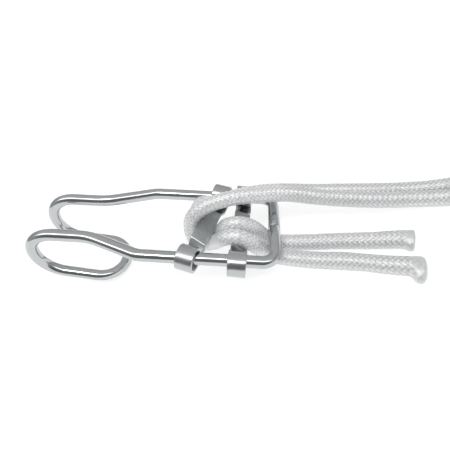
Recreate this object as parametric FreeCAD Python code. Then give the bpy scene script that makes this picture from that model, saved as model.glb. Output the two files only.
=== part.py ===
# Rope-adjusting ladder hook: one bent round-wire frame whose end is doubled back
# into a two-strand hook, two stamped slide plates with rolled eyes on the two rods,
# and one doubled braided rope threaded through the plates.
#
# Working frame ("bar frame"): origin at the middle of the crossbar, +X away from
# the hook, +Y to the far rod, +Z normal to the plane of the two rods.  bar_to_row()
# then tips that frame by TILT about Y and lifts it, so the parts are written lying
# on Z = 0 (lower hook bar and rope on the surface), metal centred on X = 0, Y = 0.
import FreeCAD, Part
import math
import os

V = FreeCAD.Vector
os.makedirs("parts", exist_ok=True)

# ---------------------------------------------------------------- driving sizes
WIRE_D = 7.0            # round bar diameter
FRAME_W = 51.1          # rod centre to rod centre
NECK_W = 30.5           # hook strand centre to hook strand centre
X_ROD = -75.7           # where the rods start to converge
X_NECK = -105.6         # where the hook strands run parallel again
X_TIP = -148.0          # hook tip corner, upper
X_TIP_LOW = -146.0      # hook tip corner, lower
X_BAR = -97.8           # lower closing bar of the hook
Z_NECK = 0.7
Z_TIP_LOW = -33.6
Z_BAR = -39.9
R_CORNER, R_ROD, R_NECK = 7.5, 15.0, 38.0
R_HOOK_TOP, R_HOOK_LOW, R_BAR = 19.6, 16.2, 14.8
BUTT_GAP = 0.2          # the bar's two ends butt at the middle of the crossbar

EYE_SPACING = 53.4      # plate eye centre to eye centre
SHEET = 1.75            # plate thickness
EYE_RI = 5.5            # eye inner radius
PLATE_W = 10.0          # strip width
EYE_END = -15.0         # free lip of the eye, degrees (0 = inner side, 90 = top)
FLAT_Z = -1.2           # flat mid-plane below the eye centres
FLAT_TO_EYE = 14.0      # flat ends this far from the eye centre
RUN_TO_EYE = 8.5        # ramp meets the eye's lower run this far from its centre
FLAT_ROLL = 25.0        # flat is rolled about the strip's length, degrees
FRONT = dict(c=(-40.2, 0.0, 0.2), yaw=15.5, roll=0.4)
REAR = dict(c=(-19.5, 0.0, -0.6), yaw=2.3, roll=0.8)

ROPE_D = 9.0
WRAP_D = 8.5            # the gripped stretches are squeezed by the plates
TILT = 17.25            # hook end up, degrees

R = WIRE_D / 2
_c, _s = math.cos(math.radians(TILT)), math.sin(math.radians(TILT))
Z_LIFT = -(-X_BAR * _s + Z_BAR * _c - R)
X_SHIFT = 73.323


def bar_to_row(p):
    return V(p[0] * _c + p[2] * _s + X_SHIFT, p[1], -p[0] * _s + p[2] * _c + Z_LIFT)


MAT = FreeCAD.Matrix(_c, 0, _s, X_SHIFT, 0, 1, 0, 0, -_s, 0, _c, Z_LIFT, 0, 0, 0, 1)


def write(name, shape):
    if len(shape.Solids) == 1:
        shape = shape.Solids[0]
    assert shape.isValid(), name
    shape.exportStep("parts/%s.step" % name)
    b = shape.optimalBoundingBox(True, False)
    print("%-18s solids %d  vol %9.1f  x %.2f..%.2f  y %.2f..%.2f  z %.2f..%.2f" % (
        name, len(shape.Solids), shape.Volume, b.XMin, b.XMax, b.YMin, b.YMax, b.ZMin, b.ZMax))
    return shape


def path(points, radii):
    """Straight runs joined by tangent arcs; returns edges run, arc, run, ..."""
    pts = [V(*p) for p in points]
    edges, legs, start = [], [], pts[0]
    for i in range(1, len(pts) - 1):
        a, b = pts[i - 1] - pts[i], pts[i + 1] - pts[i]
        ua, ub = V(a).normalize(), V(b).normalize()
        turn = math.pi - ua.getAngle(ub)
        t = radii[i] * math.tan(turn / 2)
        p0, p1 = pts[i] + ua * t, pts[i] + ub * t
        bis = (ua + ub).normalize()
        mid = pts[i] + bis * (math.hypot(t, radii[i]) - radii[i])
        legs.append((start, p0))
        edges.append(("run", start, p0))
        edges.append(("arc", p0, mid, p1))
        start = p1
    edges.append(("run", start, pts[-1]))
    return edges


def make_edges(items):
    out = []
    for it in items:
        if it[0] == "run":
            if (it[2] - it[1]).Length > 1e-4:
                out.append(Part.LineSegment(it[1], it[2]).toShape())
        else:
            out.append(Part.Arc(it[1], it[2], it[3]).toShape())
    return out


def sweep(items, radius):
    edges = make_edges(items)
    w = Part.Wire(edges)
    d = (items[0][2] - items[0][1]).normalize()
    prof = Part.Wire([Part.Circle(items[0][1], d, radius).toShape()])
    s = w.makePipeShell([prof], True, False)
    length = sum(e.Length for e in edges)
    want = math.pi * radius ** 2 * length
    assert abs(s.Volume / want - 1) < 0.01, (s.Volume, want)
    return s, length


# ---------------------------------------------------------------- wire frame
def half_frame(side):
    g = BUTT_GAP / 2
    pts = [(0, side * g, 0), (0, side * FRAME_W / 2, 0), (X_ROD, side * FRAME_W / 2, 0),
           (X_NECK, side * NECK_W / 2, Z_NECK), (X_TIP, side * NECK_W / 2, Z_NECK),
           (X_TIP_LOW, side * NECK_W / 2, Z_TIP_LOW), (X_BAR, side * NECK_W / 2, Z_BAR),
           (X_BAR, 0, Z_BAR)]
    rad = [0, R_CORNER, R_ROD, R_NECK, R_HOOK_TOP, R_HOOK_LOW, R_BAR, 0]
    return sweep(path(pts, rad), R)[0]


frame = half_frame(1).fuse(half_frame(-1)).removeSplitter()

frame.transformShape(MAT)
frame = write("wire_frame", frame)


# ---------------------------------------------------------------- slide plates
def plate(c, yaw, roll):
    cy, sy = math.cos(math.radians(yaw)), math.sin(math.radians(yaw))
    cx, sx = math.cos(math.radians(roll)), math.sin(math.radians(roll))
    e = V(sy * cx, cy * cx, sx)
    w = V(cy, -sy, 0)
    up = w.cross(e)
    c = V(*c)
    q = math.radians(FLAT_ROLL)
    wr, ur = w * math.cos(q) - up * math.sin(q), up * math.cos(q) + w * math.sin(q)
    ro, rm, h, t = EYE_RI + SHEET, EYE_RI + SHEET / 2, PLATE_W / 2, SHEET / 2
    half = EYE_SPACING / 2
    ramp = math.atan2(rm + FLAT_Z, FLAT_TO_EYE - RUN_TO_EYE)
    k = t / math.cos(ramp / 2)

    def quad(p, wd, n, hh):
        q4 = [p - wd * h - n * hh, p + wd * h - n * hh, p + wd * h + n * hh, p - wd * h + n * hh]
        return Part.makePolygon(q4 + [q4[0]])

    solid, flat_ends = None, []
    for side in (-1, 1):
        cen = c + e * (side * half)

        def at(r, a):
            a = math.radians(a)
            return cen - e * (side * math.cos(a) * r) + up * (math.sin(a) * r) - w * h
        am = (EYE_END + 270) / 2
        eye = Part.Wire([Part.Arc(at(ro, EYE_END), at(ro, am), at(ro, 270)).toShape(),
                         Part.LineSegment(at(ro, 270), at(EYE_RI, 270)).toShape(),
                         Part.Arc(at(EYE_RI, 270), at(EYE_RI, am), at(EYE_RI, EYE_END)).toShape(),
                         Part.LineSegment(at(EYE_RI, EYE_END), at(ro, EYE_END)).toShape()])
        eye = Part.Face(eye).extrude(w * PLATE_W)
        s0 = quad(cen - up * rm, w, up, t)
        n1 = (up * math.cos(ramp / 2) + e * (side * math.sin(ramp / 2))).normalize()
        s1 = quad(cen - e * (side * RUN_TO_EYE) - up * rm, w, n1, k)
        n2 = (ur * math.cos(ramp / 2) + e * (side * math.sin(ramp / 2))).normalize()
        s2 = quad(c + e * (side * (half - FLAT_TO_EYE)) + up * FLAT_Z, wr, n2, k)
        flat_ends.append(s2)
        for piece in (eye, Part.makeLoft([s0, s1], True, True), Part.makeLoft([s1, s2], True, True)):
            solid = piece if solid is None else solid.fuse(piece)
    solid = solid.fuse(Part.makeLoft(flat_ends, True, True))
    return solid


plates = {}
for name, spec in (("front_plate", FRONT), ("rear_plate", REAR)):
    s = plate(**spec)
    s.transformShape(MAT)
    plates[name] = write(name, s)

# ---------------------------------------------------------------- rope
# One rope, doubled.  Near strand and far strand are listed from the pull loop to
# their fused ends, in the bar frame; FLOOR marks points lying on the surface.
FLOOR = None


def floor_z(x, y, r=ROPE_D / 2 + 0.01):
    return (r - Z_LIFT + x * _s) / _c


LOOP = [  # in the bar frame, all on the surface, from near strand to far strand
    (104.0, 8.9), (119.0, -0.5), (135.0, -10.6), (153.0, -11.0), (167.5, -1.0),
    (173.0, 15.0), (167.0, 31.5), (152.0, 41.0), (134.0, 39.6), (119.0, 26.6), (105.0, 20.2)]
NEAR = [(90.0, 10.7, 20.3), (75.5, 11.8, 17.4), (59.5, 11.9, 15.6), (42.0, 13.0, 14.1),
        (23.9, 14.3, 13.4), (6.7, 15.1, 14.6), (-8.9, 12.1, 14.9), (-23.3, 8.7, 15.4),
        (-36.4, 5.5, 13.1), (-46.5, 2.5, 7.7), (-50.6, 1.7, -0.5), (-48.5, -3.3, -9.5),
        (-42.0, -5.9, -11.8), (-34.9, -6.6, -8.3), (-31.1, -9.9, -1.6), (-27.6, -13.2, 4.8),
        (-20.4, -13.8, 6.6), (-13.5, -13.7, 1.9), (-8.3, -12.3, -4.4), (-1.6, -13.3, FLOOR),
        (8.6, -17.0, FLOOR), (22.4, -20.9, FLOOR), (35.7, -23.4, FLOOR),
        (46.6, -26.4, FLOOR), (54.9, -29.1, FLOOR), (62.2, -30.7, FLOOR)]
FAR = [(91.0, 20.0, FLOOR), (75.4, 21.2, 16.1), (58.4, 21.2, 14.6), (40.2, 22.1, 11.8),
       (21.5, 22.6, 9.3), (3.2, 22.5, 8.4), (-13.1, 19.6, 9.5), (-26.3, 16.1, 8.2),
       (-36.8, 12.2, 6.6), (-44.9, 11.5, 6.6), (-48.3, 10.0, -1.5), (-44.0, 6.8, -7.7),
       (-37.3, 4.3, -9.9), (-31.4, 1.9, -7.5), (-29.7, -0.7, -1.2), (-27.4, -3.9, 4.9),
       (-20.2, -3.9, 6.9), (-13.0, -1.9, 2.1), (-7.3, -0.3, -4.4), (-1.8, -2.8, FLOOR),
       (8.8, -5.6, FLOOR), (22.8, -7.9, FLOOR), (36.2, -9.7, FLOOR),
       (47.4, -11.7, FLOOR), (55.8, -12.9, FLOOR), (63.4, -13.9, FLOOR)]


def solid_z(p):
    return p if p[2] is not None else (p[0], p[1], floor_z(p[0], p[1]))


near = [solid_z(p) for p in NEAR]
far = [solid_z(p) for p in FAR]
loop = [(x, y, floor_z(x, y)) for x, y in LOOP]
route = [bar_to_row(p) for p in list(reversed(near)) + loop + far]
NN, NL = len(near), len(loop)


def rope_radii(pts):
    rad = [0.0]
    for i in range(1, len(pts) - 1):
        a, b = pts[i - 1] - pts[i], pts[i + 1] - pts[i]
        turn = math.pi - a.getAngle(b)
        rad.append(0.45 * min(a.Length, b.Length) / math.tan(turn / 2))
    return rad + [0.0]


radii = rope_radii(route)
items = path([tuple(p) for p in route], radii)


def stretch(i, j):
    """Path between the middle of leg i-1..i and the middle of leg j..j+1 (whole leg at the ends)."""
    out = []
    if i == 0:
        out.append(items[0])
    else:
        m = (route[i - 1] + route[i]) * 0.5
        out.append(("run", m, items[2 * i - 1][1]))
        out.append(items[2 * i - 1])
        i0 = i
    k = (1 if i == 0 else i + 1)
    while k <= j and k < len(route) - 1:
        if not (k == 1 and i == 0):
            out.append(items[2 * (k - 1)])
        out.append(items[2 * k - 1])
        k += 1
    if j >= len(route) - 1:
        out.append(items[-1])
    else:
        out.append(("run", items[2 * j - 1][3], (route[j] + route[j + 1]) * 0.5))
    return out


# indices along the whole route
TAIL_PTS = 6                     # points of each tail beyond the crossbar
WRAP_PTS = 14                    # points of each gripped stretch
a_tail = (0, TAIL_PTS - 1)
a_wrap = (TAIL_PTS, TAIL_PTS + WRAP_PTS - 1)
line = (a_wrap[1] + 1, a_wrap[1] + (NN - TAIL_PTS - WRAP_PTS) + NL + (NN - TAIL_PTS - WRAP_PTS))
b_wrap = (line[1] + 1, line[1] + WRAP_PTS)
b_tail = (b_wrap[1] + 1, len(route) - 1)

for name, (i, j), rr in (("near_rope_tail", a_tail, ROPE_D / 2), ("near_rope_wrap", a_wrap, WRAP_D / 2),
                         ("rope_pull_loop", line, ROPE_D / 2), ("far_rope_wrap", b_wrap, WRAP_D / 2),
                         ("far_rope_tail", b_tail, ROPE_D / 2)):
    seg = stretch(i, j)
    s, length = sweep(seg, rr)
    plates[name] = write(name, s)
    rs = [round(r, 1) for r in radii[max(i, 1):min(j, len(route) - 2) + 1]]
    print("   ", name, "centreline %.1f mm, radii" % length, rs)


# ---------------------------------------------------------------- fused rope ends
def tip(end, before, length, a, b, shift, slant):
    """Melted, slightly flattened end: round section swelling to an oval, cut on a slant."""
    d = (end - before).normalize()
    side = V(-d.y, d.x, 0).normalize()
    upv = V(0, 0, 1)
    secs = []
    for f, aa, bb, sh in ((0.0, ROPE_D / 2, ROPE_D / 2, 0.0),
                          (0.45, ROPE_D / 2 + (a - ROPE_D / 2) * 0.45, ROPE_D / 2 - 0.02, shift * 0.4),
                          (1.0, a, b, shift)):
        cen = end + d * (length * f) + side * sh + upv * (bb - ROPE_D / 2)
        n = 24
        pts = [cen + side * (aa * math.cos(2 * math.pi * i / n)) + upv * (bb * math.sin(2 * math.pi * i / n))
               for i in range(n)]
        cur = Part.BSplineCurve()
        cur.interpolate(pts, PeriodicFlag=True)
        secs.append(Part.Wire([cur.toShape()]))
    body = Part.makeLoft(secs, True, False)
    cut = Part.makeBox(40, 40, 40, V(-20, -20, 0))
    nrm = (d + side * math.tan(math.radians(slant))).normalize()
    cut.Placement = FreeCAD.Placement(end + d * (length * 0.78), FreeCAD.Rotation(V(0, 0, 1), nrm))
    return body.cut(cut)


TIP_NEAR = dict(length=9.9, a=8.2, b=4.4, shift=-3.1, slant=-6)
TIP_FAR = dict(length=7.8, a=6.4, b=4.4, shift=-0.7, slant=-11)
# the tail routes are listed towards the ends, so the near tail ends at route[0]
for name, end, before, spec in (("near_rope_tip", route[0], route[1], TIP_NEAR),
                                ("far_rope_tip", route[-1], route[-2], TIP_FAR)):
    s = tip(end, before, **spec)
    plates[name] = write(name, s)
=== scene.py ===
import math

import bpy
import numpy as np
from mathutils import Matrix, Vector


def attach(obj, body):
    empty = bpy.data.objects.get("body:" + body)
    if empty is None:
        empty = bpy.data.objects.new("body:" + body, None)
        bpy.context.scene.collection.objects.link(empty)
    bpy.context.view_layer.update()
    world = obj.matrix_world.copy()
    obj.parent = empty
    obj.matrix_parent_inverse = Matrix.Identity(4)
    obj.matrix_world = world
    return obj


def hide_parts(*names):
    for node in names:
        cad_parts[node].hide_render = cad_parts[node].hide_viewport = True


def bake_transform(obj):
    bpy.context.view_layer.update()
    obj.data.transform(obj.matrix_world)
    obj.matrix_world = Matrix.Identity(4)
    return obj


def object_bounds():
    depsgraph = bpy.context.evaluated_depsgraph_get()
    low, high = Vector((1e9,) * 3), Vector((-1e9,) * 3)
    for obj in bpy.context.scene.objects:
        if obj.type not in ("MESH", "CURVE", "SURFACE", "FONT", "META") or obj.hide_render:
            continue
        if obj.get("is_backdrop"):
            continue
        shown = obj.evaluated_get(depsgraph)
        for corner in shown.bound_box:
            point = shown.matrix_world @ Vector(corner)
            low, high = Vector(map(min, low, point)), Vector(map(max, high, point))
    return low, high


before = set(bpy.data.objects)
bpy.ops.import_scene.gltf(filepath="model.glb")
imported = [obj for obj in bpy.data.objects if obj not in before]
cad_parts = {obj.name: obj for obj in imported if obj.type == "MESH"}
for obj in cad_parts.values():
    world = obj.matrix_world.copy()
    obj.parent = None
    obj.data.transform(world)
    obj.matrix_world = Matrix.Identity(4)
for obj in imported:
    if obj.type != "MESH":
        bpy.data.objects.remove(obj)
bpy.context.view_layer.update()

MM = 0.001

# ------------------------------------------------------------------ frames
# Bar frame (mm): origin mid crossbar, +X away from the hook, +Z normal to the rods.
TILT = math.radians(17.25)
C, S = math.cos(TILT), math.sin(TILT)
X_SHIFT = 73.323
X_BAR, Z_BAR, R_WIRE = -97.8, -39.9, 3.5
Z_LIFT = -(-X_BAR * S + Z_BAR * C - R_WIRE)


def rot(v):
    return np.array([v[0] * C + v[2] * S, v[1], -v[0] * S + v[2] * C], float)


def row(p):
    return (rot(p) + np.array([X_SHIFT, 0.0, Z_LIFT])) * MM


def floor_z(x, r=4.72):
    return (r - Z_LIFT + x * S) / C


# ------------------------------------------------------------------ rope route
FLOOR = None
LOOP = [(104.0, 8.9), (119.0, -0.5), (135.0, -10.6), (153.0, -11.0), (167.5, -1.0),
        (173.0, 15.0), (167.0, 31.5), (152.0, 41.0), (134.0, 39.6), (119.0, 26.6), (105.0, 20.2)]
NEAR = [(90.0, 10.7, 20.3), (75.5, 11.8, 17.4), (59.5, 11.9, 15.6), (42.0, 13.0, 14.1),
        (23.9, 14.3, 13.4), (6.7, 15.1, 14.6), (-8.9, 12.1, 14.9), (-23.3, 8.7, 15.4),
        (-36.4, 5.5, 13.1), (-46.5, 2.5, 7.7), (-50.6, 1.7, -0.5), (-48.5, -3.3, -9.5),
        (-42.0, -5.9, -11.8), (-34.9, -6.6, -8.3), (-31.1, -9.9, -1.6), (-27.6, -13.2, 4.8),
        (-20.4, -13.8, 6.6), (-13.5, -13.7, 1.9), (-8.3, -12.3, -4.4), (-1.6, -13.3, FLOOR),
        (8.6, -17.0, FLOOR), (22.4, -20.9, FLOOR), (35.7, -23.4, FLOOR),
        (46.6, -26.4, FLOOR), (54.9, -29.1, FLOOR), (62.2, -30.7, FLOOR)]
FAR = [(91.0, 20.0, FLOOR), (75.4, 21.2, 16.1), (58.4, 21.2, 14.6), (40.2, 22.2, 12.4),
       (21.5, 22.7, 10.5), (3.2, 22.6, 10.2), (-13.1, 19.7, 10.4), (-26.3, 16.1, 8.2),
       (-36.8, 12.2, 6.6), (-44.9, 11.5, 6.6), (-48.3, 10.0, -1.5), (-44.0, 6.8, -7.7),
       (-37.3, 4.3, -9.9), (-31.4, 1.9, -7.5), (-29.7, -0.7, -1.2), (-27.4, -3.9, 4.9),
       (-20.2, -3.9, 6.9), (-13.0, -1.9, 2.1), (-7.3, -0.3, -4.4), (-1.8, -2.8, FLOOR),
       (8.8, -5.6, FLOOR), (22.8, -7.9, FLOOR), (36.2, -9.7, FLOOR),
       (47.4, -11.7, FLOOR), (55.8, -12.9, FLOOR), (63.4, -13.9, FLOOR)]
TAIL_PTS, WRAP_PTS = 6, 14


def on_floor(p):
    return p if p[2] is not None else (p[0], p[1], floor_z(p[0]))


near = [on_floor(p) for p in NEAR]
far = [on_floor(p) for p in FAR]
loop = [(x, y, floor_z(x)) for x, y in LOOP]
ROUTE = [row(p) for p in list(reversed(near)) + loop + far]

# ------------------------------------------------------------------ camera
cam_data = bpy.data.cameras.new("camera")
cam = bpy.data.objects.new("camera", cam_data)
bpy.context.scene.collection.objects.link(cam)
cam_data.sensor_width = 36.0
cam_data.lens = 36.0 * 315.353 / 450.0
cam_data.clip_start, cam_data.clip_end = 0.005, 20.0
fwd = rot((-0.05128, 0.68569, -0.72608))
upv = rot((-0.05415, 0.72406, 0.68761))
fwd /= np.linalg.norm(fwd)
right = np.cross(fwd, upv)
right /= np.linalg.norm(right)
upv = np.cross(right, fwd)
eye = row((-19.490, -128.229, 136.359))
m = Matrix.Identity(4)
for i in range(3):
    m[i][0], m[i][1], m[i][2], m[i][3] = right[i], upv[i], -fwd[i], eye[i]
cam.matrix_world = m
bpy.context.scene.camera = cam


# ------------------------------------------------------------------ mesh helpers
def signed_volume(verts, faces):
    """Positive when the faces of a closed mesh are wound to face outwards."""
    v = np.array([tuple(p) for p in verts], float)
    v = v - v.mean(axis=0)
    quads = np.array([f for f in faces if len(f) == 4])
    a, b, c, d = (v[quads[:, k]] for k in range(4))
    total = (a * np.cross(b, c)).sum() + (a * np.cross(c, d)).sum()
    for f in faces:
        if len(f) != 4:
            p = v[list(f)]
            total += (p[0] * np.cross(p[1:-1], p[2:])).sum()
    return total / 6


def make_object(name, verts, faces, uv=None, attrs=None, smooth=True, closed=True):
    if closed and signed_volume(verts, faces) < 0:
        faces = [tuple(reversed(f)) for f in faces]
    me = bpy.data.meshes.new(name)
    me.from_pydata([tuple(v) for v in verts], [], faces)
    me.validate(verbose=False)
    if smooth:
        me.shade_smooth()
    for key, vals in (attrs or {}).items():
        a = me.attributes.new(key, "FLOAT", "POINT")
        a.data.foreach_set("value", np.asarray(vals, np.float32))
    if uv is not None:
        layer = me.uv_layers.new(name="UVMap")
        idx = np.zeros(len(me.loops), np.int32)
        me.loops.foreach_get("vertex_index", idx)
        layer.data.foreach_set("uv", np.asarray(uv, np.float32)[idx].ravel())
    o = bpy.data.objects.new(name, me)
    bpy.context.scene.collection.objects.link(o)
    return o


def tube_faces(n_ring, n_seg, cap=True, base=0):
    faces = []
    for i in range(n_ring - 1):
        a, b = base + i * n_seg, base + (i + 1) * n_seg
        for j in range(n_seg):
            k = (j + 1) % n_seg
            faces.append((a + j, a + k, b + k, b + j))
    if cap:
        faces.append(tuple(base + j for j in reversed(range(n_seg))))
        faces.append(tuple(base + (n_ring - 1) * n_seg + j for j in range(n_seg)))
    return faces


def transport(pts):
    """Unit tangents and twist-free normals along a polyline."""
    t = np.gradient(pts, axis=0)
    t /= np.linalg.norm(t, axis=1)[:, None]
    n = np.zeros_like(t)
    up = np.array([0, 0, 1.0])
    v = up - t[0] * (up @ t[0])
    n[0] = v / np.linalg.norm(v)
    for i in range(1, len(t)):
        v = n[i - 1] - t[i] * (n[i - 1] @ t[i])
        n[i] = v / np.linalg.norm(v)
    return t, n, np.cross(t, n)


# ------------------------------------------------------------------ rope line
curve = bpy.data.curves.new("rope_line", "CURVE")
curve.dimensions = "3D"
spline = curve.splines.new("NURBS")
spline.points.add(len(ROUTE) - 1)
for pt, co in zip(spline.points, ROUTE):
    pt.co = (co[0], co[1], co[2], 1.0)
spline.order_u = 3
spline.use_endpoint_u = True
spline.resolution_u = 24
line_obj = bpy.data.objects.new("rope_line", curve)
bpy.context.scene.collection.objects.link(line_obj)
bpy.context.view_layer.update()
tmp = bpy.data.meshes.new_from_object(line_obj)
LINE = np.array([v.co for v in tmp.vertices], float)
bpy.data.meshes.remove(tmp)
bpy.data.objects.remove(line_obj)

ARC = np.concatenate([[0], np.cumsum(np.linalg.norm(np.diff(LINE, axis=0), axis=1))])


def along(s):
    return np.stack([np.interp(s, ARC, LINE[:, k]) for k in range(3)], -1)


def arc_at(p, lo=0.0, hi=None):
    """Arc length where the line passes nearest to p."""
    hi = ARC[-1] if hi is None else hi
    s = np.linspace(lo, hi, 9000)
    return s[np.linalg.norm(along(s) - np.asarray(p), axis=1).argmin()]


def leg_mid(i):
    return (np.asarray(ROUTE[i]) + np.asarray(ROUTE[i + 1])) / 2


NN, NL = len(near), len(loop)
i_tail = TAIL_PTS - 1
i_wrap = TAIL_PTS + WRAP_PTS - 1
j_line = NN + NL + (NN - TAIL_PTS - WRAP_PTS) - 1
j_wrap = j_line + WRAP_PTS
S_A1 = arc_at(leg_mid(i_tail), 0.03, 0.10)
S_A2 = arc_at(leg_mid(i_wrap), 0.15, 0.25)
S_B1 = arc_at(leg_mid(j_line), 0.50, 0.68)
S_B2 = arc_at(leg_mid(j_wrap), 0.60, ARC[-1])
S_END = ARC[-1]

STEP = 0.00028
N_S = int(round(S_END / STEP)) + 1
SS = np.linspace(0, S_END, N_S)
PP = along(SS)
for _ in range(6):      # evens out the joints between the line's short chords
    PP[1:-1] = (PP[:-2] + 2 * PP[1:-1] + PP[2:]) / 4
TT, NV, BV = transport(PP)

ROPE_R = 4.72 * MM      # over the crowns of the braid, which is about 9.2 mm through its mean surface
CARRIERS = 12           # strands each way
PICK = 2.62 * MM        # along-rope length of one stitch
SEGS = 144


def braid(s, phi):
    """Height (0 in a groove .. 1 on a float) and float id for a two-over-two braid."""
    a = s / PICK + CARRIERS * phi / (2 * np.pi)
    b = s / PICK - CARRIERS * phi / (2 * np.pi)
    i, j = np.floor(a), np.floor(b)
    k = np.mod(i - j, 4)
    over_a = k < 2
    fa, fb = a - i, b - j
    # a float spans two cells of the other set
    ta = np.where(k < 1, fb, fb + 1.0) / 2
    tb = np.where(k < 3, fa, fa + 1.0) / 2
    across = np.where(over_a, fa, fb)
    length = np.where(over_a, ta, tb)
    h = np.sin(np.pi * np.clip(across, 0, 1)) ** 0.55 * (0.35 + 0.65 * np.sin(np.pi * np.clip(length, 0, 1)) ** 0.6)
    ident = np.where(over_a, i * 13.0 + 5.0, j * 7.0 + 1.0)
    return h, over_a, ident


# places where the laid rope is a little fuller, as (arc length, half length, amount)
FULLER = [(arc_at(row((35.5, -23.2, floor_z(35.5))), 0.0, 0.09), 6 * MM, 0.045),
          (arc_at(row((14.0, -18.6, floor_z(14.0))), 0.0, 0.09), 5 * MM, 0.025),
          (arc_at(row((27.0, -8.4, floor_z(27.0))), S_B2, S_END), 5 * MM, 0.02),
          (0.0, 9 * MM, 0.05), (S_END, 12 * MM, 0.075)]


def rope_radius(s):
    """Outer radius along the rope: squeezed a little where the plates grip it, fuller by its ends."""
    s = np.asarray(s, float)
    g = np.zeros_like(s)
    for lo, hi in ((S_A1, S_A2), (S_B1, S_B2)):
        w = 6 * MM
        g = np.maximum(g, np.clip((s - lo) / w, 0, 1) * np.clip((hi - s) / w, 0, 1))
    r = ROPE_R * (1 - 0.036 * g)
    for at_s, half_len, amount in FULLER:
        r = r * (1 + amount * np.exp(-((s - at_s) / half_len) ** 2))
    return r * (1 + 0.006 * np.sin(s * 210.0) + 0.005 * np.sin(s * 570.0 + 1.0))


PHI = np.linspace(0, 2 * np.pi, SEGS, endpoint=False)


def rope_rings(i0, i1, depth=0.34 * MM):
    s = SS[i0:i1 + 1]
    h, over, ident = braid(s[:, None], PHI[None, :])
    jitter = np.sin(ident * 12.9898) * 43758.5453
    jitter = jitter - np.floor(jitter)
    r = rope_radius(s)[:, None] - depth * (1 - h) - 0.05 * MM * jitter
    pts = (PP[i0:i1 + 1, None, :] + r[..., None] *
           (np.cos(PHI)[None, :, None] * NV[i0:i1 + 1, None, :] + np.sin(PHI)[None, :, None] * BV[i0:i1 + 1, None, :]))
    uv = np.stack([np.broadcast_to(PHI[None] / (2 * np.pi), h.shape), np.broadcast_to(s[:, None] * 100, h.shape)], -1)
    return pts, h, jitter, uv, over


def painted_light_on_wraps(s):
    """1 where the rope is drawn round the plates, 0 along its slack ends and line: the mask of painted light that
    whitens those wraps against the shade they sit in.
    """
    s = np.asarray(s, float)
    g = np.zeros_like(s)
    for lo, hi in ((S_A1, S_A2), (S_B1, S_B2)):
        w = 16 * MM
        g = np.maximum(g, np.clip((s - lo + w) / w, 0, 1) * np.clip((hi + w - s) / w, 0, 1))
    return g * g * (3 - 2 * g)


def rope_piece(name, s0, s1):
    i0, i1 = int(round(s0 / S_END * (N_S - 1))), int(round(s1 / S_END * (N_S - 1)))
    pts, h, jit, uv, over = rope_rings(i0, i1)
    n = i1 - i0 + 1
    # painted light: the wraps round the plates get a colour about a sixth whiter; the jitter part is random yarn tone
    tone_and_painted_light = 0.2 * jit.reshape(n, SEGS) + 0.8 * painted_light_on_wraps(SS[i0:i1 + 1])[:, None]
    o = make_object(name, pts.reshape(-1, 3), tube_faces(n, SEGS), uv.reshape(-1, 2),
                    {"groove": h.ravel(), "yarn_and_painted_light": tone_and_painted_light.ravel(), "lay": over.astype(float).ravel()})
    return o, PP[i0:i1 + 1]


# ------------------------------------------------------------------ materials
def material(name):
    mt = bpy.data.materials.new(name)
    mt.use_nodes = True
    nt = mt.node_tree
    bsdf = nt.nodes["Principled BSDF"]
    return mt, nt, bsdf


def node(nt, kind, **vals):
    n = nt.nodes.new(kind)
    for k, v in vals.items():
        if k in n.inputs:
            n.inputs[k].default_value = v
        else:
            setattr(n, k, v)
    return n


def chrome(name, base, rough, brushed=False):
    mt, nt, b = material(name)
    b.inputs["Metallic"].default_value = 1.0
    tc = node(nt, "ShaderNodeTexCoord")
    big = node(nt, "ShaderNodeTexNoise", Scale=60.0, Detail=3.0)
    nt.links.new(tc.outputs["Object"], big.inputs["Vector"])
    ramp = node(nt, "ShaderNodeValToRGB")
    ramp.color_ramp.elements[0].position, ramp.color_ramp.elements[1].position = 0.3, 0.7
    ramp.color_ramp.elements[0].color = (base[0] * 0.93, base[1] * 0.94, base[2] * 0.95, 1)
    ramp.color_ramp.elements[1].color = (*base, 1)
    nt.links.new(big.outputs["Fac"], ramp.inputs["Fac"])
    nt.links.new(ramp.outputs["Color"], b.inputs["Base Color"])
    rr = node(nt, "ShaderNodeMapRange")
    rr.inputs["From Min"].default_value, rr.inputs["From Max"].default_value = 0.3, 0.7
    rr.inputs["To Min"].default_value, rr.inputs["To Max"].default_value = rough * 0.75, rough * 1.3
    nt.links.new(big.outputs["Fac"], rr.inputs["Value"])
    nt.links.new(rr.outputs["Result"], b.inputs["Roughness"])
    fine = node(nt, "ShaderNodeTexNoise", Scale=900.0, Detail=2.0)
    mp = node(nt, "ShaderNodeMapping")
    mp.inputs["Scale"].default_value = (0.12, 1.0, 1.0) if not brushed else (1.0, 0.15, 1.0)
    nt.links.new(tc.outputs["Object"], mp.inputs["Vector"])
    nt.links.new(mp.outputs["Vector"], fine.inputs["Vector"])
    bump = node(nt, "ShaderNodeBump", Strength=0.06 if brushed else 0.02, Distance=0.0003)
    nt.links.new(fine.outputs["Fac"], bump.inputs["Height"])
    nt.links.new(bump.outputs["Normal"], b.inputs["Normal"])
    return mt


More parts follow.
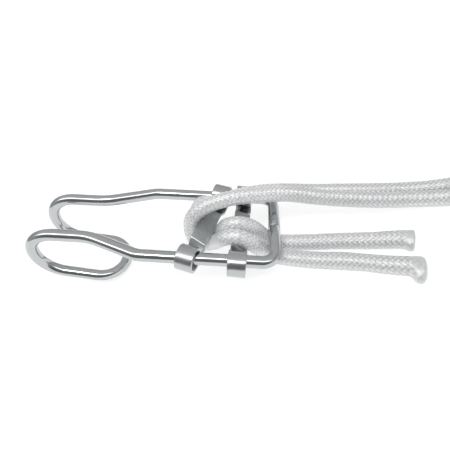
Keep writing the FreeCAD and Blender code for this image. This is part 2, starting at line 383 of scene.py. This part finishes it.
def rope_material(name, light, painted_groove_shade, rough=0.5, melted=None):
    mt, nt, b = material(name)
    at = node(nt, "ShaderNodeAttribute", attribute_name="groove")
    yarn_and_painted_light = node(nt, "ShaderNodeAttribute", attribute_name="yarn_and_painted_light")
    # painted shade: the colour runs down to the darker colour in the braid's grooves
    ramp = node(nt, "ShaderNodeValToRGB")
    ramp.color_ramp.elements[0].position, ramp.color_ramp.elements[1].position = 0.0, 0.75
    ramp.color_ramp.elements[0].color = (*painted_groove_shade, 1)
    ramp.color_ramp.elements[1].color = (*light, 1)
    nt.links.new(at.outputs["Fac"], ramp.inputs["Fac"])
    # this attribute scales the colour: random yarn tone, plus painted light that whitens the wraps round the plates
    tone_and_painted_light = node(nt, "ShaderNodeMapRange")
    tone_and_painted_light.inputs["To Min"].default_value, tone_and_painted_light.inputs["To Max"].default_value = 0.84, 1.0
    nt.links.new(yarn_and_painted_light.outputs["Fac"], tone_and_painted_light.inputs["Value"])
    mul = node(nt, "ShaderNodeVectorMath", operation="SCALE")
    if melted:                                     # the yarns run together towards the face
        melt = node(nt, "ShaderNodeAttribute", attribute_name="melt")
        mixed = node(nt, "ShaderNodeMix", data_type="RGBA")
        mixed.inputs[7].default_value = (*melted, 1)
        nt.links.new(melt.outputs["Fac"], mixed.inputs["Factor"])
        nt.links.new(ramp.outputs["Color"], mixed.inputs[6])
        nt.links.new(mixed.outputs[2], mul.inputs[0])
    else:
        nt.links.new(ramp.outputs["Color"], mul.inputs[0])
    nt.links.new(tone_and_painted_light.outputs["Result"], mul.inputs["Scale"])
    nt.links.new(mul.outputs["Vector"], b.inputs["Base Color"])
    b.inputs["Roughness"].default_value = rough
    b.inputs["Specular IOR Level"].default_value = 0.9
    b.inputs["Metallic"].default_value = 0.30      # the satin lustre of drawn filament
    uvn = node(nt, "ShaderNodeUVMap", uv_map="UVMap")
    mp = node(nt, "ShaderNodeMapping")
    mp.inputs["Scale"].default_value = (170.0, 26.0, 1.0)
    nt.links.new(uvn.outputs["UV"], mp.inputs["Vector"])
    fib = node(nt, "ShaderNodeTexNoise", Scale=1.0, Detail=2.0)
    nt.links.new(mp.outputs["Vector"], fib.inputs["Vector"])
    bump = node(nt, "ShaderNodeBump", Strength=0.35, Distance=0.00025)
    nt.links.new(fib.outputs["Fac"], bump.inputs["Height"])
    nt.links.new(bump.outputs["Normal"], b.inputs["Normal"])
    return mt


M_BAR = chrome("polished_round_bar", (0.545, 0.56, 0.565), 0.14)
M_SHEET = chrome("polished_sheet", (0.53, 0.545, 0.55), 0.24, brushed=True)
# the second colour of each rope material is painted shade for the braid's grooves
M_ROPE = rope_material("braided_rope", (0.965, 0.97, 0.975), (0.46, 0.485, 0.49), rough=0.29)
M_FUSED = rope_material("fused_fibre", (0.965, 0.97, 0.975), (0.46, 0.485, 0.49), rough=0.33, melted=(0.83, 0.84, 0.845))


# ------------------------------------------------------------------ wire frame
def fillet(points, radii, step_deg=3.0, run_step=6.0):
    pts = [np.array(p, float) for p in points]
    out = [pts[0]]

    def run(a, b):
        k = max(1, int(np.linalg.norm(b - a) / run_step))
        for i in range(1, k + 1):
            out.append(a + (b - a) * i / k)
    prev = pts[0]
    for i in range(1, len(pts) - 1):
        a, b = pts[i - 1] - pts[i], pts[i + 1] - pts[i]
        ua, ub = a / np.linalg.norm(a), b / np.linalg.norm(b)
        turn = math.pi - math.acos(float(np.clip(ua @ ub, -1, 1)))
        t = radii[i] * math.tan(turn / 2)
        p0 = pts[i] + ua * t
        bis = (ua + ub) / np.linalg.norm(ua + ub)
        cen = pts[i] + bis * math.hypot(t, radii[i])
        run(prev, p0)
        u = (p0 - cen) / radii[i]
        v = -ua
        k = max(4, int(math.degrees(turn) / step_deg))
        for q in range(1, k + 1):
            w = turn * q / k
            out.append(cen + radii[i] * (u * math.cos(w) + v * math.sin(w)))
        prev = out[-1]
    run(prev, pts[-1])
    return np.array(out)


def half(side):
    pts = [(0, side * 0.1, 0), (0, side * 25.55, 0), (-75.7, side * 25.55, 0), (-105.6, side * 15.25, 0.7),
           (-148.0, side * 15.25, 0.7), (-146.0, side * 15.25, -33.6), (X_BAR, side * 15.25, Z_BAR), (X_BAR, 0, Z_BAR)]
    return fillet(pts, [0, 7.5, 15.0, 38.0, 19.6, 16.2, 14.8, 0])


bar_line = np.concatenate([half(1), half(-1)[::-1][1:]])
keep = np.concatenate([[True], np.linalg.norm(np.diff(bar_line, axis=0), axis=1) > 1e-4])
bar_line = bar_line[keep]
bar_pts = np.array([row(p) for p in bar_line])
tan = np.zeros_like(bar_pts)
seg = np.diff(bar_pts, axis=0)
seg /= np.linalg.norm(seg, axis=1)[:, None]
tan[0], tan[-1] = seg[0], seg[-1]
tan[1:-1] = seg[:-1] + seg[1:]
tan /= np.linalg.norm(tan, axis=1)[:, None]
nv = np.zeros_like(tan)
v0 = np.array([1.0, 0, 0]) - tan[0] * tan[0][0]
nv[0] = v0 / np.linalg.norm(v0)
for i in range(1, len(tan)):
    v = nv[i - 1] - tan[i] * (nv[i - 1] @ tan[i])
    nv[i] = v / np.linalg.norm(v)
bv = np.cross(tan, nv)
SEG_W = 72
ang = np.linspace(0, 2 * np.pi, SEG_W, endpoint=False)
centres, radii, ns, bs = list(bar_pts), [R_WIRE * MM] * len(bar_pts), list(nv), list(bv)
# small chamfers where the bar's two ends butt
ch = 0.35 * MM
centres = [bar_pts[0], bar_pts[0] + tan[0] * ch * 0.35, bar_pts[0] + tan[0] * ch] + centres[1:-1] + \
    [bar_pts[-1] - tan[-1] * ch, bar_pts[-1] - tan[-1] * ch * 0.35, bar_pts[-1]]
radii = [R_WIRE * MM - ch, R_WIRE * MM - ch * 0.35, R_WIRE * MM] + radii[1:-1] + [R_WIRE * MM, R_WIRE * MM - ch * 0.35, R_WIRE * MM - ch]
ns = [nv[0]] * 3 + ns[1:-1] + [nv[-1]] * 3
bs = [bv[0]] * 3 + bs[1:-1] + [bv[-1]] * 3
verts = []
for c, r, n_, b_ in zip(centres, radii, ns, bs):
    verts += [c + r * (math.cos(a) * n_ + math.sin(a) * b_) for a in ang]
bar = make_object("wire_frame_bar", verts, tube_faces(len(centres), SEG_W))
bar.data.materials.append(M_BAR)
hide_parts("wire_frame")
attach(bar, "frame")

# ------------------------------------------------------------------ slide plates
EYE_SPACING, SHEET, EYE_RI, PLATE_W = 53.4, 1.75, 5.5, 10.0
EYE_END, FLAT_Z, FLAT_TO_EYE, RUN_TO_EYE, FLAT_ROLL = -15.0, -1.2, 14.0, 8.5, math.radians(25.0)


def plate(name, c, yaw, roll, body):
    cy, sy = math.cos(math.radians(yaw)), math.sin(math.radians(yaw))
    cx, sx = math.cos(math.radians(roll)), math.sin(math.radians(roll))
    e = np.array([sy * cx, cy * cx, sx])
    w = np.array([cy, -sy, 0.0])
    up = np.cross(w, e)
    c = np.array(c, float)
    rm = EYE_RI + SHEET / 2
    half_l = EYE_SPACING / 2
    # centreline in (u along e, z along up), from the -e lip to the +e lip, with roll fraction
    prof = []
    n = 30
    for i in range(n + 1):
        a = math.radians(EYE_END + (270 - EYE_END) * i / n)
        prof.append((-half_l + rm * math.cos(a), rm * math.sin(a), 0.0))
    corner1 = (-(half_l - RUN_TO_EYE), -rm)
    corner2 = (-(half_l - FLAT_TO_EYE), FLAT_Z)

    def bend(p0, p1, p2, r, f0, f1, k=7):
        a, b = np.array(p0) - p1, np.array(p2) - p1
        ua, ub = a / np.linalg.norm(a), b / np.linalg.norm(b)
        turn = math.pi - math.acos(float(ua @ ub))
        tt = r * math.tan(turn / 2)
        s0 = p1 + ua * tt
        cen = p1 + (ua + ub) / np.linalg.norm(ua + ub) * math.hypot(tt, r)
        u, v = (s0 - cen) / r, -ua
        return [(*(cen + r * (u * math.cos(turn * q / k) + v * math.sin(turn * q / k))), f0 + (f1 - f0) * q / k) for q in range(k + 1)]
    prof += bend((-half_l, -rm), np.array(corner1), corner2, 1.3, 0.0, 0.12)
    last = prof[-1]
    b2 = bend(corner1, np.array(corner2), (0, FLAT_Z), 1.3, 0.88, 1.0)
    for q in range(1, 6):
        f = q / 6
        prof.append((last[0] + (b2[0][0] - last[0]) * f, last[1] + (b2[0][1] - last[1]) * f, 0.12 + 0.76 * f))
    prof += b2
    left = prof[:]
    mid = [(-(half_l - FLAT_TO_EYE) * (1 - q / 6) * 0.93, FLAT_Z, 1.0) for q in range(1, 6)]
    prof = left + mid + [(0.0, FLAT_Z, 1.0)] + [(-p[0], p[1], p[2]) for p in reversed(mid)] + [(-p[0], p[1], p[2]) for p in reversed(left)]
    prof = np.array(prof)
    keep = np.concatenate([[True], np.linalg.norm(np.diff(prof[:, :2], axis=0), axis=1) > 1e-3])
    prof = prof[keep]
    tg = np.gradient(prof[:, :2], axis=0)
    tg /= np.linalg.norm(tg, axis=1)[:, None]
    # rounded rectangle section: (across, through)
    h, t, r = PLATE_W / 2, SHEET / 2, 0.38
    sec = []
    for sx_, sz_, a0 in ((1, 1, 0), (-1, 1, 90), (-1, -1, 180), (1, -1, 270)):
        for k in range(5):
            a = math.radians(a0 + 90 * k / 4)
            sec.append((sx_ * (h - r) + r * math.cos(a), sz_ * (t - r) + r * math.sin(a)))
    # extra points on the broad faces keep shading even
    full = []
    for i, p in enumerate(sec):
        q = sec[(i + 1) % len(sec)]
        full.append(p)
        if abs(q[0] - p[0]) > 4:
            full += [(p[0] + (q[0] - p[0]) * k / 6, p[1]) for k in range(1, 6)]
    sec = np.array(full)
    verts = []
    for i in range(len(prof)):
        u, z, f = prof[i]
        q = FLAT_ROLL * f
        wd = w * math.cos(q) - up * math.sin(q)
        th = e * tg[i][0] + up * tg[i][1]
        nrm = np.cross(wd, th)
        nrm /= np.linalg.norm(nrm)
        p = c + e * u + up * z
        verts += [row(p + wd * s_[0] + nrm * s_[1]) for s_ in sec]
    n_s = len(sec)
    o = make_object(name, verts, tube_faces(len(prof), n_s))
    o.data.materials.append(M_SHEET)
    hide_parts(body)
    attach(o, body)
    return o


plate("front_plate_strip", (-40.2, 0.0, 0.2), 15.5, 0.4, "front_plate")
plate("rear_plate_strip", (-19.5, 0.0, -0.6), 2.3, 0.8, "rear_plate")

# ------------------------------------------------------------------ rope pieces
near_tail, near_path = rope_piece("near_rope_braid", 0.0, S_A1)
far_tail, far_path = rope_piece("far_rope_braid", S_B2, S_END)
pull, pull_path = rope_piece("rope_line_and_loop", S_A2, S_B1)
for o in (near_tail, far_tail, pull):
    o.data.materials.append(M_ROPE)
    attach(o, "frame")
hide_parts("near_rope_tail")
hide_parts("far_rope_tail")
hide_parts("rope_pull_loop")


def fused_end(name, i_end, sign, length, a, b, shift, slant, seed, node_name, face=0.72, soft=0.55, keep_braid=1.9):
    """The melted end: the braid fades out as the section swells, and closes in a blunt lumpy face."""
    d = TT[i_end] * sign
    side = np.array([-d[1], d[0], 0.0])
    side /= np.linalg.norm(side)
    up = np.array([0, 0, 1.0])
    base = PP[i_end]
    n_t = 46
    rng = np.random.default_rng(seed)
    ph = rng.uniform(0, 6.28, 8)
    verts, gro, yar, uvs, mel = [], [], [], [], []
    # angle of each braid column in the side/up plane, so the pattern carries over
    ang0 = np.arctan2(NV[i_end] @ up, NV[i_end] @ side)
    handed = 1.0 if (BV[i_end] @ (-math.sin(ang0) * side + math.cos(ang0) * up)) > 0 else -1.0
    s_end = SS[i_end]
    r0 = float(rope_radius(s_end)) / MM
    for k in range(n_t):
        f = k / (n_t - 1)
        close = 1.0
        ax = f
        if f > face:                      # rounded blunt face
            g = (f - face) / (1 - face)
            close = max(0.04, math.cos(g * math.pi / 2)) ** soft      # never a point, so the face stays a real one
            ax = face + (1 - face) * (math.sin(g * math.pi / 2) ** 0.8) * 0.55
        grow = min(1.0, max(0.0, (f - 0.05) / (face - 0.1)))
        grow = grow * grow * (3 - 2 * grow)
        ra = (r0 + (a - r0) * grow) * MM
        rb = (r0 + (b - r0) * grow) * MM
        cen = base + side * shift * MM * grow + up * (rb - r0 * MM)
        s_here = s_end + sign * ax * length * MM
        h, over, ident = braid(np.full(SEGS, s_here), PHI)
        fade = max(0.0, 1 - f * keep_braid)
        for q in range(SEGS):
            th = ang0 + handed * PHI[q]
            lump = 0.16 * math.sin(3 * th + ph[0] + 5 * f) + 0.12 * math.sin(5 * th + ph[1] - 9 * f) + 0.08 * math.sin(9 * th + ph[2] + 14 * f)
            cut = 1 - (0.34 / r0) * (1 - h[q]) * fade
            rad = close * (cut + 0.05 * grow * (lump - 0.25))
            if k == 0:
                rad = 1 - (0.34 / r0) * (1 - h[q])
            x, y = math.cos(th) * ra * rad, math.sin(th) * rb * rad
            push = ax * length * MM - math.tan(math.radians(slant)) * math.cos(th) * ra * close * grow
            verts.append(cen + side * x + up * y + d * push)
            # painted shade: the colour darkens in the braid's grooves and, faintly, in the hollows between the face's
            # lumps
            gro.append(h[q] * fade + (1 - fade) * (0.75 + 0.2 * lump))
            yar.append(0.1 + 0.08 * math.sin(7 * th + ph[3] + 20 * f))
            mel.append(min(1.0, 1.25 * f) ** 0.8)
            uvs.append((PHI[q] / (2 * math.pi), s_here * 100))
    o = make_object(name, verts, tube_faces(n_t, SEGS), uvs, {"groove": gro, "yarn_and_painted_light": yar, "melt": mel})
    o.data.materials.append(M_FUSED)
    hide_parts(node_name)
    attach(o, "frame")
    return o


near_tip = fused_end("near_rope_fused_end", 0, -1.0, 10.8, 7.6, 4.6, -1.5, -3.0, 3, "near_rope_tip", face=0.5, soft=0.75, keep_braid=0.95)
far_tip = fused_end("far_rope_fused_end", N_S - 1, 1.0, 8.2, 6.3, 4.6, -0.6, -9.0, 5, "far_rope_tip", keep_braid=1.2)


# ------------------------------------------------------------------ gripped stretches
# Split where the rope turns round the front plate and between the plates.
LEFT_A = arc_at(row((-49.5, 0.4, -0.5)), S_A1, S_A2)
LEFT_B = arc_at(row((-46.7, 9.6, -1.0)), S_B1, S_B2)
GAP_A = arc_at(row((-31.6, -9.2, -2.6)), S_A1, LEFT_A)
GAP_B = arc_at(row((-29.8, -0.3, -1.8)), LEFT_B, S_B2)
HUMP_A = arc_at(row((-20.5, -13.6, 6.0)), S_A1, GAP_A)
HUMP_B = arc_at(row((-20.3, -3.8, 6.2)), GAP_B, S_B2)


wrap_parts = []
for tag, spans, node_name in (
        ("near", ((LEFT_A, S_A2, "top"), (GAP_A, LEFT_A, "under"), (HUMP_A, GAP_A, "rise"), (S_A1, HUMP_A, "fall")), "near_rope_wrap"),
        ("far", ((S_B1, LEFT_B, "top"), (LEFT_B, GAP_B, "under"), (GAP_B, HUMP_B, "rise"), (HUMP_B, S_B2, "fall")), "far_rope_wrap")):
    for lo, hi, part in spans:
        o, _ = rope_piece("%s_rope_%s" % (tag, part), lo, hi)
        o.data.materials.append(M_ROPE)
        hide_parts(node_name)
        if part == "top":
            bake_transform(o)
        elif part == "under":
            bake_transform(o)
        elif part == "rise":
            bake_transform(o)
        else:
            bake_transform(o)
        wrap_parts.append(o)

# ------------------------------------------------------------------ floor, world, lights
# a wide pale disc whose far rim turns up a little, so it fills the view to its corners
rings = [(0.0, 0.0), (0.5, 0.0), (3.0, 0.0), (24.0, 0.0), (25.0, 0.15), (25.4, 0.7)]
fv, ff, k_f = [(0.0, 0.0, 0.0)], [], 64
for rr_, zz_ in rings[1:]:
    fv += [(rr_ * math.cos(2 * math.pi * q / k_f), rr_ * math.sin(2 * math.pi * q / k_f), zz_) for q in range(k_f)]
for q in range(k_f):
    ff.append((0, 1 + q, 1 + (q + 1) % k_f))
    for r_i in range(len(rings) - 2):
        a_, b_ = 1 + r_i * k_f, 1 + (r_i + 1) * k_f
        ff.append((a_ + q, b_ + q, b_ + (q + 1) % k_f, a_ + (q + 1) % k_f))
floor = make_object("floor", fv, ff, smooth=False, closed=False)
mf, nf, bf = material("pale_floor")
bf.inputs["Base Color"].default_value = (0.42, 0.42, 0.42, 1)
bf.inputs["Roughness"].default_value = 0.95
bf.inputs["Specular IOR Level"].default_value = 0.0
bf.inputs["Emission Color"].default_value = (1, 1, 1, 1)
bf.inputs["Emission Strength"].default_value = 0.74
floor.data.materials.append(mf)
floor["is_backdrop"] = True

scene = bpy.context.scene
scene.view_settings.view_transform = "Standard"
scene.view_settings.look = "None"
world = bpy.data.worlds.new("studio")
scene.world = world
world.use_nodes = True
wn = world.node_tree
bg = wn.nodes["Background"]
tc = node(wn, "ShaderNodeTexCoord")
sep = node(wn, "ShaderNodeSeparateXYZ")
wn.links.new(tc.outputs["Generated"], sep.inputs["Vector"])


def wmath(op, a, b=None):
    n = node(wn, "ShaderNodeMath", operation=op)
    for i, v in enumerate((a, b)):
        if v is None:
            continue
        if isinstance(v, (int, float)):
            n.inputs[i].default_value = v
        else:
            wn.links.new(v, n.inputs[i])
    return n.outputs[0]


# angle over the object from the front horizon (0) by the zenith (0.5) to the back horizon (1)
over = wmath("DIVIDE", wmath("ARCTAN2", sep.outputs["Z"], wmath("MULTIPLY", sep.outputs["Y"], -1.0)), math.pi)
band = node(wn, "ShaderNodeValToRGB")
STOPS = [(0, 0.18), (30, 0.18), (46, 0.24), (59, 0.46), (62, 3.3), (74, 3.3), (78, 0.70), (97, 0.64),
         (121, 0.61), (145, 0.58), (165, 0.47), (180, 0.38)]
el_ = band.color_ramp.elements
el_[0].position, el_[0].color = 0.0, (STOPS[0][1],) * 3 + (1,)
el_[1].position, el_[1].color = 1.0, (STOPS[-1][1],) * 3 + (1,)
for deg, val in STOPS[1:-1]:
    q_ = el_.new(deg / 180.0)
    q_.color = (val, val, val, 1)
wn.links.new(over, band.inputs["Fac"])
sides = node(wn, "ShaderNodeMapRange", interpolation_type="SMOOTHSTEP")
sides.inputs["From Min"].default_value, sides.inputs["From Max"].default_value = 0.62, 0.93
wn.links.new(wmath("ABSOLUTE", sep.outputs["X"]), sides.inputs["Value"])
mix = node(wn, "ShaderNodeMix", data_type="RGBA")
wn.links.new(sides.outputs["Result"], mix.inputs["Factor"])
wn.links.new(band.outputs["Color"], mix.inputs[6])
mix.inputs[7].default_value = (0.42, 0.42, 0.43, 1)
wn.links.new(mix.outputs[2], bg.inputs["Color"])
bg.inputs["Strength"].default_value = 1.0


def sun(name, az, elev, power, angle):
    ld = bpy.data.lights.new(name, "SUN")
    ld.energy, ld.angle = power, math.radians(angle)
    o = bpy.data.objects.new(name, ld)
    bpy.context.scene.collection.objects.link(o)
    a_, e_ = math.radians(az), math.radians(elev)
    d = Vector((math.sin(a_) * math.cos(e_), -math.cos(a_) * math.cos(e_), math.sin(e_)))
    o.rotation_euler = d.to_track_quat("Z", "Y").to_euler()
    o.location = d
    return o


# the long soft source is in the world, high in front; a weak lamp sits in its middle
sun("key", 6, 68, 0.25, 13)

lo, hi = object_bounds()
